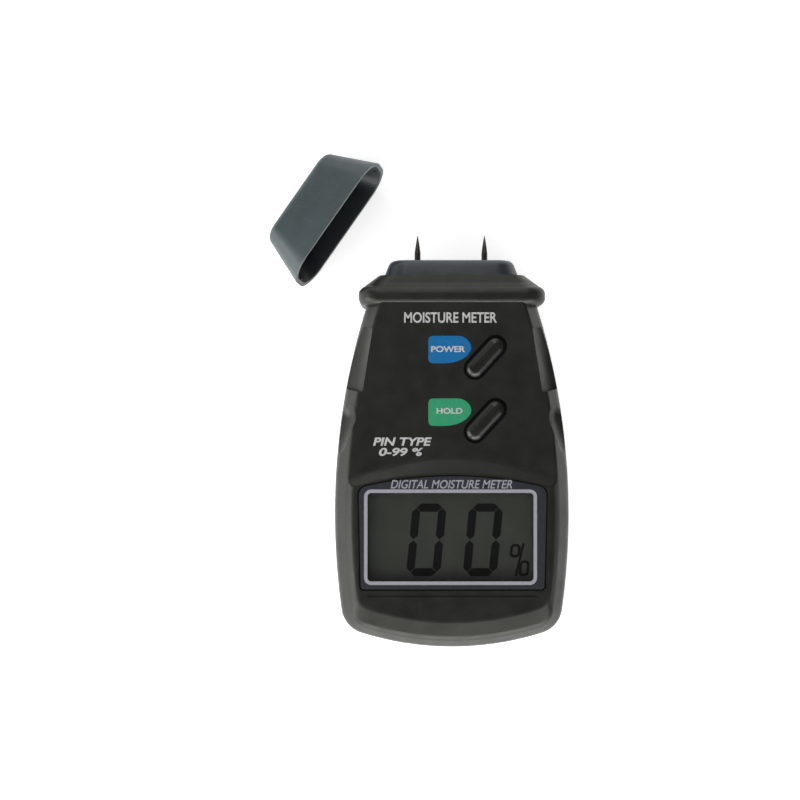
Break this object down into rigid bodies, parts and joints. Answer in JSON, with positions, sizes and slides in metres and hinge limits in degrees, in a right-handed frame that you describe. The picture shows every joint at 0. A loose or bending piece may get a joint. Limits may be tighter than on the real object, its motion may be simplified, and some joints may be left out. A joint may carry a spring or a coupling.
{
  "type": "moisture meter",
  "caption": "Handheld pin moisture meter with a large display, slanted push keys, a sliding battery door on its back and a pin cap lying beside it.",
  "frame": {"origin": "middle of the flat back face that the meter lies on", "axes": "+X to the right of the display, +Y towards the electrode pins, +Z out of the display"},
  "size_m": [0.089, 0.1468, 0.03],
  "materials": {
    "housing_plastic": "fine spark texture, olive black",
    "rear_plastic": "fine spark texture, olive black",
    "door_plastic": "fine spark texture, olive black",
    "cap_plastic": "satin, blue grey",
    "head_plastic": "satin, blue grey",
    "key_rubber": "satin, charcoal",
    "pin_steel": "ground and polished",
    "screw_steel": "zinc plated",
    "brass": "satin",
    "lens_clear": "clear acrylic, gloss",
    "lcd_film": "satin olive polariser",
    "reflector": "satin",
    "inner_white": "satin",
    "zebra_rubber": "matt",
    "board_green": "solder mask",
    "chip_black": "moulded epoxy",
    "component_mix": "satin",
    "trimmer_blue": "satin",
    "switch_black": "satin",
    "plunger_white": "satin",
    "battery_sleeve": "printed foil sleeve, dark",
    "terminal_nickel": "nickel plated",
    "snap_vinyl": "soft vinyl",
    "wire_red": "vinyl insulation",
    "wire_black": "vinyl insulation",
    "foam_grey": "open cell foam"
  },
  "bodies": {
    "housing": {"rear_shell": "rear_plastic", "front_shell": "housing_plastic", "sensor_head": "head_plastic", "pin_left": "pin_steel", "pin_right": "pin_steel", "pin_nuts": "brass", "pin_lead_red": "wire_red", "pin_lead_black": "wire_black", "circuit_board": "board_green", "board_screws": "screw_steel", "main_chip": "chip_black", "trimmer": "trimmer_blue", "board_components": "component_mix", "power_switch": "switch_black", "hold_switch": "switch_black", "lcd_glass": "lcd_film", "lcd_reflector": "reflector", "lcd_holder": "inner_white", "zebra_strips": "zebra_rubber", "display_lens": "lens_clear", "battery": "battery_sleeve", "battery_terminals": "terminal_nickel", "battery_snap": "snap_vinyl", "battery_lead_red": "wire_red", "battery_lead_black": "wire_black", "battery_foam": "foam_grey", "case_screws": "screw_steel"},
    "power_key": {"power_button": "key_rubber", "power_plunger": "plunger_white"},
    "hold_key": {"hold_button": "key_rubber", "hold_plunger": "plunger_white"},
    "door": {"battery_door": "door_plastic"},
    "cap": {"pin_cap": "cap_plastic"}
  },
  "joints": [
    {"name": "power_press", "type": "slide", "parent": "housing", "child": "power_key", "axis": [0, 0, -1], "range_m": [0, 0.0006], "stiffness_N_per_m": 1500, "springref_m": -0.0005},
    {"name": "hold_press", "type": "slide", "parent": "housing", "child": "hold_key", "axis": [0, 0, -1], "range_m": [0, 0.0006], "stiffness_N_per_m": 1500, "springref_m": -0.0005},
    {"name": "door_slide", "type": "slide", "parent": "housing", "child": "door", "axis": [0, -1, 0], "range_m": [0, 0.028]},
    {"name": "cap_fit", "type": "hinge", "parent": "housing", "child": "cap", "pos_m": [-0.03222, 0.03061, 0.015], "axis": [0.1811, 0.0943, -0.9789], "range_deg": [0, 56]}
  ]
}
